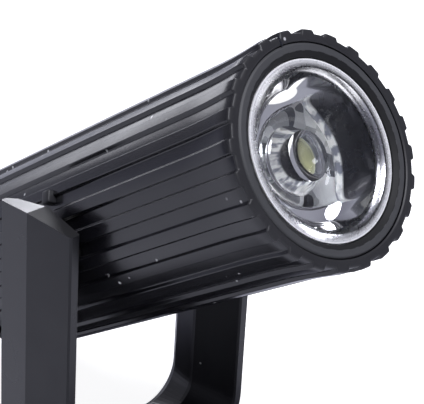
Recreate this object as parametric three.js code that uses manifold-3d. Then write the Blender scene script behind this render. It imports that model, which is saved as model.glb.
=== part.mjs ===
// Mini LED spotlight in millimetres: +Z is up, the lamp faces -Y and the near arm is at -X.
// The lamp is drawn along its own axis, with depth counted back from the face of the front ring,
// and is then tilted about the pivot line. The origin is the middle of the bracket's flat foot.

import * as THREE from "three";
import { mergeVertices } from "three/addons/utils/BufferGeometryUtils.js";
import Module from "manifold-3d";

const wasm = await Module();
wasm.setup();

// Shared clearances and counts
const gap = 0.3;
const overrun = 2;
const wideSteps = 60;
const smallSteps = 24;

// Lamp shell
const tiltDegrees = 33.8;
const ringRadius = 24;
const ringFace = 2.95;
const ringFlare = 0.6;
const ringBand = 2.6;
const ringBevel = 0.5;
const flareLength = 15.6;
const tubeTaper = 2.1;
const tubeWall = 2;
const ribCount = 24;
const channelDepth = 0.75;
const channelShare = 0.59;
const channelFloorShare = 0.78;
const channelPhaseDegrees = 5.7;
const pivotSetback = 62.4;

// Index nib beside the near pivot
const nibDepth = 61.2;
const nibDegrees = 62;
const nibLength = 2.6;
const nibWidth = 2.8;
const nibHeight = 1.2;

// Front bezel
const bezelDepth = 7;
const bezelFlat = 0.4;
const bezelSetback = 0.1;
const bezelFaceWidth = 1.5;
const bezelWidth = 2.6;
const bezelLipSetback = 0.8;
const bezelLipThickness = 1.3;
const skirtWall = 1.65;

// Lens
const flangeThickness = 1.5;
const rimRise = 1.5;
const rimWidth = 1.75;
const faceStep = 1.5;
const faceSlope = 1.2;
const lensShoulder = 1.8;
const lensTailShare = 0.399;
const lensDepth = 12.9;
const lensCurveShare = 0.5;
const lensCurveSteps = 9;
const cavityRearShare = 0.883;
const cavityFrontShare = 0.69;
const cavityDepth = 7.9;
const cavityCrown = 2;

// Gasket and lens holder
const gasketThickness = 0.8;
const gasketWidth = 1.5;
const holderLip = 1.4;
const holderWall = 1.4;
const holderBand = 5;
const holderFootInset = 1.5;
const holderFootWidth = 2.3;
const holderLength = 11.8;

// LED and its board
const ledBoardRoom = 4.3;
const ledBoardThickness = 1.6;
const packageShare = 0.83;
const packageHeight = 5.1;
const phosphorShare = 0.667;
const phosphorThickness = 0.2;
const domeShare = 0.845;
const domeHeight = 1.2;

// Heat sink, its pad and its screws
const padInset = 1.5;
const padThickness = 0.5;
const sinkBase = 4;
const sinkLength = 27.9;
const finThickness = 1.4;
const finSideCount = 4;
const finEdgeRoom = 0.8;
const sinkScrewRadius = 1.25;
const sinkScrewHeadRadius = 2.1;
const sinkScrewHeadHeight = 1.4;
const sinkScrewLength = 6.2;

// LED leads
const leadRadius = 0.8;
const leadHeight = 8;
const leadRise = 4.5;
const leadStub = 0.6;
const leadLanding = 3;
const leadSides = 8;
const leadSteps = 32;

// Driver board and what stands on it
const boardSideRoom = 4.3;
const boardTail = 0.9;
const boardThickness = 1.6;
const boardDrop = 6.6;
const boardRearRoom = 5.5;
const railWidth = 5.6;
const railHeight = 3.6;
const railSink = 0.1;
const coreWidth = 14;
const coreHeight = 12;
const coreThickness = 5;
const coreLeg = 2.3;
const coreYoke = 2.3;
const bobbinWall = 2;
const bobbinOverhang = 2.4;
const inputCapacitorRadius = 4;
const inputCapacitorHeight = 12;
const outputCapacitorRadius = 3.15;
const outputCapacitorHeight = 11;
const filmWidth = 10;
const filmThickness = 4.5;
const filmHeight = 8;
const bridgeSide = 6;
const bridgeHeight = 2.4;
const chipWidth = 5;
const chipLength = 4;
const chipHeight = 1.5;
const chokeRadius = 3.5;
const chokeHeight = 8;
const chokeWaistRadius = 2.7;
const chokeFlange = 1;
const fuseRadius = 1.5;
const fuseLength = 8;
const fuseCapLength = 1.4;
const fuseWaistRadius = 1.2;
const rowSpacing = 1.2;
const columnShare = 0.25;

// Rear cap, its screws and the cable gland
const capThickness = 4.9;
const capRound = 3;
const capRoundSteps = 4;
const spigotLength = 2.7;
const spigotWall = 1.2;
const capScrewCount = 3;
const screwBossBite = 0.2;
const capScrewRadius = 1.25;
const capScrewHeadRadius = 2.2;
const capScrewHeadHeight = 1.4;
const capScrewLength = 10;
const capScrewInset = 0.4;
const screwBossRadius = 2.8;
const screwBossLength = 8;
const driveRadius = 0.9;
const driveDepth = 0.8;
const glandNeckRadius = 4.2;
const glandFlangeRadius = 6;
const glandFlange = 1.4;
const glandNose = 3.4;
const glandNoseRadius = 3.8;
const glandBoreRadius = 2.8;

// Bracket
const armWidth = 21.7;
const ridgeThickness = 5.2;
const ridgeOffset = 1;
const creaseOffset = 2.1;
const frontEdge = 2.6;
const rearEdge = 1.4;
const frontBend = 0.5;
const rearBend = 0.3;
const frontSwell = 4.5;
const rearSwell = 3.3;
const frontSwellOffset = 2.4;
const rearSwellOffset = 8.8;
const edgeBevel = 0.4;
const cornerRadius = 11.4;
const cornerSteps = 12;
const armClearance = 0.7;
const armAbovePivot = 9.4;
const pivotAboveFoot = 55.8;
const footHoleRadius = 2.25;
const footHoleSpan = 18;

// Pivots
const pinRadius = 2.5;
const pinHeadRadius = 3.8;
const pinHeadHeight = 1.4;
const washerRadius = 5;
const washerThickness = 0.8;
const pivotPadRadius = 5.5;
const collarWall = 0.8;
const pivotPadProud = 0.15;
const pivotBossRadius = 5;
const pivotBossLength = 7;
const pinReach = 2.9;

// Sizes that follow from the ones above
const tilt = THREE.MathUtils.degToRad(tiltDegrees);
const tubeFrontRadius = ringRadius - ringFlare;
const tubeRearRadius = tubeFrontRadius - tubeTaper;
const boreRadius = tubeRearRadius - tubeWall;
const bezelRadius = ringRadius - ringFace;
const apertureRadius = bezelRadius - bezelWidth;
const lensRimRadius = apertureRadius - gap;
const ledBoardRadius = boreRadius - ledBoardRoom;
const padRadius = ledBoardRadius - padInset;
const holderFootRadius = ledBoardRadius - holderFootInset;
const lensTailRadius = boreRadius * lensTailShare;
const cavityRearRadius = lensTailRadius * cavityRearShare;
const cavityFrontRadius = cavityRearRadius * cavityFrontShare;
const packageRadius = cavityFrontRadius * packageShare;
const domeRadius = packageRadius * domeShare;
const phosphorSide = 2 * domeRadius * phosphorShare;
const capScrewCircle = boreRadius + screwBossBite - screwBossRadius;
const lensStart = bezelLipSetback + bezelLipThickness + gap;
const flangeBack = lensStart + flangeThickness;
const lensBack = lensStart + lensDepth;
const gasketStart = flangeBack + gap;
const holderStart = gasketStart + gasketThickness + gap;
const holderBack = holderStart + holderLength;
const ledBoardStart = holderBack + gap;
const packageEnd = ledBoardStart - gap;
const packageStart = packageEnd - packageHeight;
const phosphorStart = packageStart - gap - phosphorThickness;
const domeBase = phosphorStart - gap;
const padStart = ledBoardStart + ledBoardThickness + gap;
const sinkStart = padStart + padThickness + gap;
const boardStart = sinkStart + sinkLength + leadRise;
const boardWidth = 2 * (boreRadius - boardSideRoom);
const boardTop = boardThickness / 2 - boardDrop;
const partFloor = boardTop + gap;

// Rows of parts on the driver board, from its front end backwards
const columnOffset = boardWidth * columnShare;
const outputRow = boardStart + leadLanding + rowSpacing + outputCapacitorRadius;
const bobbinLength = coreThickness + 2 * bobbinOverhang;
const coreRow = outputRow + outputCapacitorRadius + rowSpacing + bobbinLength / 2;
const inputRow = coreRow + bobbinLength / 2 + rowSpacing + inputCapacitorRadius;
const bridgeRow = inputRow + inputCapacitorRadius + rowSpacing + bridgeSide / 2;
const fuseRow = bridgeRow + bridgeSide / 2 + rowSpacing + fuseRadius;
const boardLength = fuseRow + fuseRadius + boardTail - boardStart;
const shellLength = boardStart + boardLength + boardRearRoom;

// Sizes of the pivots, the bracket and the rear
const pivotHeight = ridgeThickness + pivotAboveFoot;
const pivotTubeRadius = tubeRadius(pivotSetback);
const armInner = pivotTubeRadius + armClearance;
const armOuter = armInner + ridgeThickness;
const padFace = pivotTubeRadius + pivotPadProud;
const washerStart = padFace + gap;
const armPadFace = washerStart + washerThickness + gap;
const bossInner = padFace - pivotBossLength;
const counterboreRadius = bezelRadius + gap;
const counterboreDepth = bezelDepth + gap;
const flangeRadius = bezelRadius - skirtWall - gap;
const lensWaistRadius = flangeRadius - lensShoulder;
const sinkRadius = boreRadius - gap;
const finPitch = (sinkRadius - finThickness - finEdgeRoom) / finSideCount;
const leadX = finPitch / 2;
const sinkScrewX = finPitch + finPitch / 2;
const capStart = shellLength + gap;
const capBack = capStart + capThickness;
const screwBossBack = capStart - spigotLength - gap;

// Colours
const blackPlastic = new THREE.MeshStandardMaterial({ color: 0x17181a, roughness: 0.5 });
const darkPlastic = new THREE.MeshStandardMaterial({ color: 0x101112, roughness: 0.6 });
const clearAcrylic = new THREE.MeshStandardMaterial({ color: 0xe4ecf0, roughness: 0.05 });
const clearSilicone = new THREE.MeshStandardMaterial({ color: 0xf4f2d8, roughness: 0.1 });
const phosphorYellow = new THREE.MeshStandardMaterial({ color: 0xd8d860, roughness: 0.6 });
const whiteCeramic = new THREE.MeshStandardMaterial({ color: 0xf0f0ec, roughness: 0.5 });
const bareAluminium = new THREE.MeshStandardMaterial({ color: 0xa8abae, roughness: 0.4, metalness: 1 });
const brightSteel = new THREE.MeshStandardMaterial({ color: 0xb8babc, roughness: 0.3, metalness: 1 });
const greyRubber = new THREE.MeshStandardMaterial({ color: 0x3a3b3d, roughness: 0.8 });
const palePad = new THREE.MeshStandardMaterial({ color: 0x8d9aa6, roughness: 0.8 });
const natural = new THREE.MeshStandardMaterial({ color: 0xe6e2d4, roughness: 0.6 });
const greenBoard = new THREE.MeshStandardMaterial({ color: 0x1f5a34, roughness: 0.5 });
const ferrite = new THREE.MeshStandardMaterial({ color: 0x2b2b2e, roughness: 0.6 });
const yellowTape = new THREE.MeshStandardMaterial({ color: 0xd2b13a, roughness: 0.5 });
const blackSleeve = new THREE.MeshStandardMaterial({ color: 0x1c1d22, roughness: 0.4 });
const redSleeve = new THREE.MeshStandardMaterial({ color: 0xa02020, roughness: 0.5 });

// A closed body from points and triangles, with its faces turned outwards
function closedBody(positions, triangles) {
  const raw = new THREE.BufferGeometry();
  raw.setAttribute("position", new THREE.Float32BufferAttribute(positions, 3));
  raw.setIndex(triangles);
  const merged = mergeVertices(raw, 1e-4);
  const kept = [];
  const index = merged.index.array;
  const at = (i) => new THREE.Vector3().fromBufferAttribute(merged.attributes.position, i);
  let volume = 0;
  for (let i = 0; i < index.length; i += 3) {
    const [a, b, c] = [index[i], index[i + 1], index[i + 2]];
    if (a === b || b === c || c === a) continue;
    kept.push(a, b, c);
    volume += at(a).dot(at(b).cross(at(c)));
  }
  if (volume < 0) kept.reverse();
  merged.setIndex(kept);
  return merged;
}

function bare(geometry) {
  const flat = geometry.index ? geometry.toNonIndexed() : geometry;
  const positions = Array.from(flat.attributes.position.array);
  return closedBody(positions, positions.slice(0, positions.length / 3).map((_, i) => i));
}

function asSolid(geometry) {
  const body = bare(geometry);
  return new wasm.Manifold(
    new wasm.Mesh({
      numProp: 3,
      vertProperties: new Float32Array(body.attributes.position.array),
      triVerts: new Uint32Array(body.index.array),
    }),
  );
}

function fromSolid(solid) {
  const mesh = solid.getMesh();
  const geometry = new THREE.BufferGeometry();
  geometry.setAttribute("position", new THREE.Float32BufferAttribute(mesh.vertProperties, 3));
  geometry.setIndex(Array.from(mesh.triVerts));
  return geometry;
}

function joined(base, additions, cuts = []) {
  let solid = asSolid(base);
  for (const addition of additions) solid = solid.add(asSolid(addition));
  for (const cut of cuts) solid = solid.subtract(asSolid(cut));
  return fromSolid(solid);
}

// Depth behind the ring's face becomes a place on the lamp's own axis
function along(depth) {
  return depth - pivotSetback;
}

// A profile of radius and depth turned about the lamp's axis
function turned(profile, steps = wideSteps) {
  const points = profile.map(([radius, depth]) => new THREE.Vector2(radius, along(depth)));
  return bare(new THREE.LatheGeometry(points, steps));
}

// A plain round bar along the lamp's axis from one depth to another, off the axis by x and z
function axialBar(radius, start, end, x = 0, z = 0, steps = smallSteps) {
  const geometry = new THREE.CylinderGeometry(radius, radius, end - start, steps);
  return geometry.translate(x, along((start + end) / 2), z);
}

// A plain round bar along X in the pivot line, from one side distance to another
function crossBar(radius, start, end, side, steps = smallSteps) {
  const geometry = new THREE.CylinderGeometry(radius, radius, end - start, steps);
  return geometry.rotateZ(Math.PI / 2).translate((side * (start + end)) / 2, 0, 0);
}

function block(width, length, height, x, y, z) {
  return new THREE.BoxGeometry(width, length, height).translate(x, y, z);
}

// A square tile across the lamp's axis
function tile(side, start, thickness) {
  return block(side, thickness, side, 0, along(start + thickness / 2), 0);
}

// Rings of points joined side to side, the last ring back to the first
function tubeOfRings(rings) {
  const count = rings[0].length;
  const positions = rings.flat().flatMap((point) => point.toArray());
  const triangles = [];
  rings.forEach((ring, i) => {
    const here = i * count;
    const next = ((i + 1) % rings.length) * count;
    for (let j = 0; j < count; j += 1) {
      const k = (j + 1) % count;
      triangles.push(here + j, next + j, next + k, here + j, next + k, here + k);
    }
  });
  return closedBody(positions, triangles);
}

// Rings of points joined side to side, with a flat end at the first and the last
function barOfRings(rings, outline) {
  const count = rings[0].length;
  const positions = rings.flat().flatMap((point) => point.toArray());
  const triangles = [];
  for (let i = 0; i + 1 < rings.length; i += 1) {
    const here = i * count;
    const next = here + count;
    for (let j = 0; j < count; j += 1) {
      const k = (j + 1) % count;
      triangles.push(here + j, next + j, next + k, here + j, next + k, here + k);
    }
  }
  const last = (rings.length - 1) * count;
  for (const [a, b, c] of THREE.ShapeUtils.triangulateShape(outline, [])) {
    triangles.push(a, b, c, last + c, last + b, last + a);
  }
  return closedBody(positions, triangles);
}

// Where the ribs and channels change, round the lamp's axis from the top towards the near arm
function ribCorners() {
  const pitch = (2 * Math.PI) / ribCount;
  const half = (pitch * channelShare) / 2;
  const floorHalf = half * channelFloorShare;
  const corners = [];
  for (let i = 0; i < ribCount; i += 1) {
    const centre = THREE.MathUtils.degToRad(channelPhaseDegrees) + i * pitch;
    corners.push({ angle: centre - half, low: false });
    corners.push({ angle: centre - floorHalf, low: true });
    corners.push({ angle: centre + floorHalf, low: true });
    corners.push({ angle: centre + half, low: false });
    corners.push({ angle: centre + pitch / 2, low: false });
  }
  return corners;
}

function ringOfPoints(corners, depth, radius, drop) {
  return corners.map(({ angle, low }) => {
    const reach = radius - (low ? drop : 0);
    return new THREE.Vector3(-reach * Math.sin(angle), along(depth), reach * Math.cos(angle));
  });
}

// The tube narrows evenly from the front to the rear
function tubeRadius(depth) {
  return tubeFrontRadius + (tubeRearRadius - tubeFrontRadius) * (depth / shellLength);
}

function flareRings(corners) {
  const shares = [0, 0.25, 0.5, 0.75, 1];
  return shares.map((share) => {
    const depth = ringBand + (flareLength - ringBand) * share;
    const flare = (ringRadius - tubeRadius(ringBand)) * (1 - share) ** 2;
    return ringOfPoints(corners, depth, tubeRadius(depth) + flare, channelDepth);
  });
}

function capScrewPlaces() {
  return Array.from({ length: capScrewCount }, (_, i) => {
    const angle = Math.PI + (i * 2 * Math.PI) / capScrewCount;
    return [capScrewCircle * Math.sin(angle), capScrewCircle * Math.cos(angle)];
  });
}

function nib() {
  const low = tubeRadius(nibDepth) - channelDepth;
  const height = nibHeight + channelDepth;
  const centre = low + height / 2;
  const geometry = new THREE.BoxGeometry(nibWidth, nibLength, height);
  geometry.translate(0, along(nibDepth), centre);
  return geometry.rotateY(-THREE.MathUtils.degToRad(nibDegrees));
}

function boardRail(side) {
  const top = railHeight / 2 - boardDrop;
  const outer = Math.sqrt((boreRadius + railSink) ** 2 - top ** 2);
  const end = boardStart + boardLength;
  const middle = along((boardStart + end) / 2);
  const rail = block(railWidth, boardLength, railHeight, side * (outer - railWidth / 2), middle, -boardDrop);
  const slotOuter = boardWidth / 2 + gap;
  const slotWidth = railWidth + overrun;
  const slotHeight = boardThickness + 2 * gap;
  const slotX = side * (slotOuter - slotWidth / 2);
  const slot = block(slotWidth, boardLength + overrun, slotHeight, slotX, middle, -boardDrop);
  return joined(rail, [], [slot]);
}

function bodyShell() {
  const corners = ribCorners();
  const rings = [
    ringOfPoints(corners, 0, ringRadius - ringBevel, channelDepth),
    ringOfPoints(corners, ringBevel, ringRadius, channelDepth),
    ...flareRings(corners),
    ringOfPoints(corners, shellLength, tubeRearRadius, channelDepth),
    ringOfPoints(corners, shellLength, boreRadius, 0),
    ringOfPoints(corners, counterboreDepth, boreRadius, 0),
    ringOfPoints(corners, counterboreDepth, counterboreRadius, 0),
    ringOfPoints(corners, 0, counterboreRadius, 0),
  ];
  const additions = [nib(), boardRail(-1), boardRail(1)];
  const cuts = [];
  for (const side of [-1, 1]) {
    additions.push(crossBar(pivotBossRadius, bossInner, boreRadius + railSink, side));
    additions.push(crossBar(pivotPadRadius, boreRadius + railSink, padFace, side));
    cuts.push(crossBar(pinRadius + gap, bossInner - overrun, padFace + overrun, side));
  }
  for (const [x, z] of capScrewPlaces()) {
    const start = screwBossBack - screwBossLength;
    additions.push(axialBar(screwBossRadius, start, screwBossBack, x, z));
    cuts.push(axialBar(capScrewRadius + gap, start + gap, screwBossBack + overrun, x, z));
  }
  return joined(tubeOfRings(rings), additions, cuts);
}

function bezelRing() {
  const skirt = bezelRadius - skirtWall;
  const lipBack = bezelLipSetback + bezelLipThickness;
  return turned([
    [apertureRadius, bezelLipSetback],
    [apertureRadius, lipBack],
    [skirt, lipBack],
    [skirt, bezelDepth],
    [bezelRadius, bezelDepth],
    [bezelRadius, bezelSetback + bezelFlat],
    [bezelRadius - bezelFlat, bezelSetback],
    [bezelRadius - bezelFaceWidth, bezelSetback],
    [apertureRadius, bezelLipSetback],
  ]);
}

// The lens's side swells from its tail to its shoulder
function lensSide() {
  const side = [];
  for (let i = 0; i <= lensCurveSteps; i += 1) {
    const share = i / lensCurveSteps;
    const radius = lensTailRadius + (lensWaistRadius - lensTailRadius) * share ** lensCurveShare;
    side.push([radius, lensBack - (lensBack - flangeBack) * share]);
  }
  return side;
}

// A sunk flat front inside a rim that fills the bezel's opening, and a tapered hollow with a
// rounded top that holds the LED
function lens() {
  const rimInner = lensRimRadius - rimWidth;
  const front = lensStart - rimRise;
  const face = front + faceStep;
  const cavityTop = lensBack - cavityDepth;
  const crown = [1, 0.85, 0.6, 0.3, 0].map((share) => [
    cavityFrontRadius * share,
    cavityTop + cavityCrown * (1 - share ** 2),
  ]);
  return turned([
    [0, face],
    [rimInner - faceSlope, face],
    [rimInner, front],
    [lensRimRadius, front],
    [lensRimRadius, lensStart],
    [flangeRadius, lensStart],
    [flangeRadius, flangeBack],
    ...lensSide().reverse(),
    [cavityRearRadius, lensBack],
    ...crown,
  ]);
}

function lensGasket() {
  const inner = flangeRadius - gasketWidth;
  const back = gasketStart + gasketThickness;
  return turned([
    [inner, gasketStart],
    [inner, back],
    [flangeRadius, back],
    [flangeRadius, gasketStart],
    [inner, gasketStart],
  ]);
}

function lensHolder() {
  const outer = boreRadius - gap;
  const bandBack = holderStart + holderBand;
  const inner = flangeRadius - holderLip;
  const footBack = holderBack;
  const footFront = holderBack - holderWall;
  return turned([
    [inner, holderStart],
    [outer, holderStart],
    [outer, bandBack],
    [holderFootRadius, footFront],
    [holderFootRadius, footBack],
    [holderFootRadius - holderFootWidth, footBack],
    [holderFootRadius - holderFootWidth, footFront],
    [inner, bandBack - holderWall],
    [inner, holderStart],
  ]);
}

function screwAndLeadHoles(start, end) {
  const holes = [];
  for (const side of [-1, 1]) {
    holes.push(axialBar(sinkScrewRadius + gap, start, end, side * sinkScrewX, 0));
    holes.push(axialBar(leadRadius + gap, start, end, side * leadX, -leadHeight));
  }
  return holes;
}

function drilledDisc(radius, start, thickness) {
  const end = start + thickness;
  const disc = axialBar(radius, start, end, 0, 0, wideSteps);
  return joined(disc, [], screwAndLeadHoles(start - overrun, end + overrun));
}

function ledPackage() {
  return axialBar(packageRadius, packageStart, packageEnd, 0, 0);
}

function ledDome() {
  const profile = [[0, domeBase]];
  const steps = smallSteps / 4;
  for (let i = 0; i <= steps; i += 1) {
    const angle = (i / steps) * (Math.PI / 2);
    profile.push([domeRadius * Math.cos(angle), domeBase - domeHeight * Math.sin(angle)]);
  }
  return turned(profile, smallSteps);
}

function heatSink() {
  const baseEnd = sinkStart + sinkBase;
  const end = sinkStart + sinkLength;
  const disc = axialBar(sinkRadius, sinkStart, baseEnd, 0, 0, wideSteps);
  const fins = [];
  for (let i = -finSideCount; i <= finSideCount; i += 1) {
    const far = Math.abs(i * finPitch) + finThickness / 2;
    const half = Math.sqrt(sinkRadius ** 2 - far ** 2) - gap;
    const start = sinkStart + sinkBase / 2;
    fins.push(block(finThickness, end - start, 2 * half, i * finPitch, along((start + end) / 2), 0));
  }
  return joined(disc, fins, screwAndLeadHoles(sinkStart - overrun, baseEnd + overrun));
}

// A pan-head screw along the lamp's axis: a round head, a shank and a blind round drive
function axialScrew(sizes) {
  const { radius, headRadius, headHeight, length, faceDepth, direction, x, z } = sizes;
  const place = (distance) => along(faceDepth + direction * distance);
  const head = new THREE.CylinderGeometry(headRadius, headRadius, headHeight, smallSteps);
  head.translate(x, place(-headHeight / 2), z);
  const shank = new THREE.CylinderGeometry(radius, radius, length + headHeight / 2, smallSteps);
  shank.translate(x, place(length / 2 - headHeight / 4), z);
  const drive = new THREE.CylinderGeometry(driveRadius, driveRadius, 2 * driveDepth, 6);
  drive.translate(x, place(-headHeight), z);
  return joined(head, [shank], [drive]);
}

function sinkScrew(side) {
  return axialScrew({
    radius: sinkScrewRadius,
    headRadius: sinkScrewHeadRadius,
    headHeight: sinkScrewHeadHeight,
    length: sinkScrewLength,
    faceDepth: ledBoardStart - gap,
    direction: 1,
    x: side * sinkScrewX,
    z: 0,
  });
}

// A lead from the LED board back through the heat sink, up and on to the driver board
function lead(side) {
  const low = -leadHeight;
  const high = partFloor + leadRadius;
  const bendStart = along(boardStart - leadRise);
  const x = side * leadX;
  const route = [
    new THREE.Vector3(x, along(ledBoardStart - leadStub), low),
    new THREE.Vector3(x, bendStart - leadRise, low),
    new THREE.Vector3(x, bendStart, low),
    new THREE.Vector3(x, along(boardStart), high),
    new THREE.Vector3(x, along(boardStart + leadLanding), high),
  ];
  const path = new THREE.CurvePath();
  path.add(new THREE.LineCurve3(route[0], route[1]));
  path.add(new THREE.CubicBezierCurve3(route[1], route[2], route[3].clone().setY(bendStart), route[3]));
  path.add(new THREE.LineCurve3(route[3], route[4]));
  const circle = new THREE.Shape();
  circle.absarc(0, 0, leadRadius, 0, 2 * Math.PI);
  return new THREE.ExtrudeGeometry(circle, {
    extrudePath: path,
    steps: leadSteps,
    curveSegments: leadSides / 2,
  });
}

function onBoard(width, length, height, x, depth) {
  return block(width, length, height, x, along(depth), partFloor + height / 2);
}

function uprightTurned(profile, x, depth) {
  const points = profile.map(([radius, height]) => new THREE.Vector2(radius, height));
  const geometry = bare(new THREE.LatheGeometry(points, smallSteps));
  return geometry.rotateX(Math.PI / 2).translate(x, along(depth), partFloor);
}

function uprightCan(radius, height, x, depth) {
  const profile = [
    [0, 0],
    [radius, 0],
    [radius, height],
    [0, height],
  ];
  return uprightTurned(profile, x, depth);
}

function transformerCore() {
  const outline = onBoard(coreWidth, coreThickness, coreHeight, 0, coreRow);
  const windowWidth = (coreWidth - 2 * coreYoke - 2 * coreLeg) / 2;
  const windowHeight = coreHeight - 2 * coreYoke;
  const windowX = coreLeg + windowWidth / 2;
  const middle = partFloor + coreHeight / 2;
  const windows = [-1, 1].map((side) => {
    return block(windowWidth, coreThickness + overrun, windowHeight, side * windowX, along(coreRow), middle);
  });
  return joined(outline, [], windows);
}

function transformerBobbin() {
  const height = coreHeight - 2 * coreYoke - 2 * gap;
  const innerWidth = 2 * coreLeg + 2 * gap;
  const innerLength = coreThickness + 2 * gap;
  const middle = partFloor + coreHeight / 2;
  const outer = block(innerWidth + 2 * bobbinWall, bobbinLength, height, 0, along(coreRow), middle);
  const hole = block(innerWidth, innerLength, height + overrun, 0, along(coreRow), middle);
  return joined(outer, [], [hole]);
}

function choke() {
  const profile = [
    [0, 0],
    [chokeRadius, 0],
    [chokeRadius, chokeFlange],
    [chokeWaistRadius, chokeFlange],
    [chokeWaistRadius, chokeHeight - chokeFlange],
    [chokeRadius, chokeHeight - chokeFlange],
    [chokeRadius, chokeHeight],
    [0, chokeHeight],
  ];
  return uprightTurned(profile, columnOffset, inputRow);
}

function fuseResistor() {
  const half = fuseLength / 2;
  const profile = [
    [0, -half],
    [fuseRadius, -half],
    [fuseRadius, fuseCapLength - half],
    [fuseWaistRadius, fuseCapLength - half],
    [fuseWaistRadius, half - fuseCapLength],
    [fuseRadius, half - fuseCapLength],
    [fuseRadius, half],
    [0, half],
  ];
  const points = profile.map(([radius, height]) => new THREE.Vector2(radius, height));
  const geometry = bare(new THREE.LatheGeometry(points, smallSteps));
  return geometry.rotateZ(Math.PI / 2).translate(0, along(fuseRow), partFloor + fuseRadius);
}

function rearCap() {
  const round = [];
  for (let i = 0; i <= capRoundSteps; i += 1) {
    const angle = (i / capRoundSteps) * (Math.PI / 2);
    const inset = capRound * (1 - Math.cos(angle));
    round.push([tubeRearRadius - inset, capBack - capRound * (1 - Math.sin(angle))]);
  }
  const spigot = boreRadius - gap;
  const neck = glandNeckRadius + gap;
  const shape = turned([
    [neck, capStart],
    [spigot - spigotWall, capStart],
    [spigot - spigotWall, capStart - spigotLength],
    [spigot, capStart - spigotLength],
    [spigot, capStart],
    [tubeRearRadius, capStart],
    ...round,
    [neck, capBack],
    [neck, capStart],
  ]);
  const pads = [];
  const cuts = [];
  for (const [x, z] of capScrewPlaces()) {
    pads.push(axialBar(screwBossRadius - spigotWall / 2, capStart - spigotLength, capStart + gap, x, z));
    cuts.push(axialBar(capScrewRadius + gap, capStart - spigotLength - gap, capBack + overrun, x, z));
    const seat = capBack - capScrewInset - capScrewHeadHeight - gap;
    cuts.push(axialBar(capScrewHeadRadius + gap, seat, capBack + overrun, x, z));
  }
  return joined(shape, pads, cuts);
}

function capScrew([x, z]) {
  return axialScrew({
    radius: capScrewRadius,
    headRadius: capScrewHeadRadius,
    headHeight: capScrewHeadHeight,
    length: capScrewLength,
    faceDepth: capBack - capScrewInset - capScrewHeadHeight,
    direction: -1,
    x,
    z,
  });
}

function cableGland() {
  const innerFace = capStart - gap;
  const outerFace = capBack + gap;
  return turned(
    [
      [glandBoreRadius, innerFace - glandFlange],
      [glandFlangeRadius, innerFace - glandFlange],
      [glandFlangeRadius, innerFace],
      [glandNeckRadius, innerFace],
      [glandNeckRadius, outerFace],
      [glandFlangeRadius, outerFace],
      [glandFlangeRadius, outerFace + glandFlange],
      [glandNoseRadius, outerFace + glandFlange + glandNose],
      [glandBoreRadius, outerFace + glandFlange + glandNose],
      [glandBoreRadius, innerFace - glandFlange],
    ],
    smallSteps * 2,
  );
}

// The bracket's section: place across its width, and depth in from its outer face
function bracketSection(bendShare) {
  const half = armWidth / 2;
  const front = frontBend * bendShare;
  const rear = rearBend * bendShare;
  return [
    [-half, front + edgeBevel],
    [-half + edgeBevel, front],
    [creaseOffset, 0],
    [half - edgeBevel, rear],
    [half, rear + edgeBevel],
    [half, rearBend + rearEdge],
    [rearSwellOffset, rearSwell],
    [ridgeOffset, ridgeThickness],
    [-frontSwellOffset, frontSwell],
    [-half + edgeBevel, frontBend + frontEdge],
    [-half, frontBend + frontEdge - edgeBevel],
  ];
}

// Stations down the near arm, round both corners and up the far arm
function bracketStations() {
  const top = pivotHeight + armAbovePivot;
  const centreX = armOuter - cornerRadius;
  const stations = [{ x: -armOuter, z: top, inX: 1, inZ: 0, bendShare: 1 }];
  for (const side of [-1, 1]) {
    for (let i = 0; i <= cornerSteps; i += 1) {
      const share = side < 0 ? i / cornerSteps : 1 - i / cornerSteps;
      const angle = share * (Math.PI / 2);
      stations.push({
        x: side * (centreX + cornerRadius * Math.cos(angle)),
        z: cornerRadius * (1 - Math.sin(angle)),
        inX: -side * Math.cos(angle),
        inZ: Math.sin(angle),
        bendShare: 1 - share,
      });
    }
  }
  stations.push({ x: armOuter, z: top, inX: -1, inZ: 0, bendShare: 1 });
  return stations;
}

function bracket() {
  const rings = bracketStations().map(({ x, z, inX, inZ, bendShare }) =>
    bracketSection(bendShare).map(([across, depth]) => {
      return new THREE.Vector3(x + inX * depth, across, z + inZ * depth);
    }),
  );
  const outline = bracketSection(1).map(([across, depth]) => new THREE.Vector2(across, depth));
  const strip = barOfRings(rings, outline);
  const additions = [];
  const cuts = [];
  for (const side of [-1, 1]) {
    const collar = pivotPadRadius + collarWall;
    const pad = crossBar(collar, armInner, armInner + ridgeThickness / 2, side);
    additions.push(pad.translate(0, 0, pivotHeight));
    const recess = crossBar(pivotPadRadius, armInner - overrun, armPadFace, side);
    cuts.push(recess.translate(0, 0, pivotHeight));
    const hole = crossBar(pinRadius + gap, armPadFace - overrun, armPadFace + pinReach + gap, side);
    cuts.push(hole.translate(0, 0, pivotHeight));
    const length = ridgeThickness + 2 * overrun;
    const footHole = new THREE.CylinderGeometry(footHoleRadius, footHoleRadius, length, smallSteps);
    footHole.rotateX(Math.PI / 2);
    cuts.push(footHole.translate((side * footHoleSpan) / 2, 0, ridgeThickness / 2));
  }
  return joined(strip, additions, cuts);
}

function pivotPin(side) {
  const headStart = bossInner - gap - pinHeadHeight;
  const head = crossBar(pinHeadRadius, headStart, headStart + pinHeadHeight, side);
  const shank = crossBar(pinRadius, headStart + pinHeadHeight / 2, armPadFace + pinReach, side);
  return joined(head, [shank]);
}

function frictionWasher(side) {
  const ring = crossBar(washerRadius, washerStart, washerStart + washerThickness, side);
  const hole = crossBar(pinRadius + gap, washerStart - overrun, armPadFace + overrun, side);
  return joined(ring, [], [hole]);
}

const group = new THREE.Group();
const lamp = new THREE.Group();
lamp.position.set(0, 0, pivotHeight);
lamp.rotation.set(-tilt, 0, 0);
group.add(lamp);

function add(parent, name, geometry, material) {
  const mesh = new THREE.Mesh(geometry, material);
  mesh.name = name;
  parent.add(mesh);
}

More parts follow.
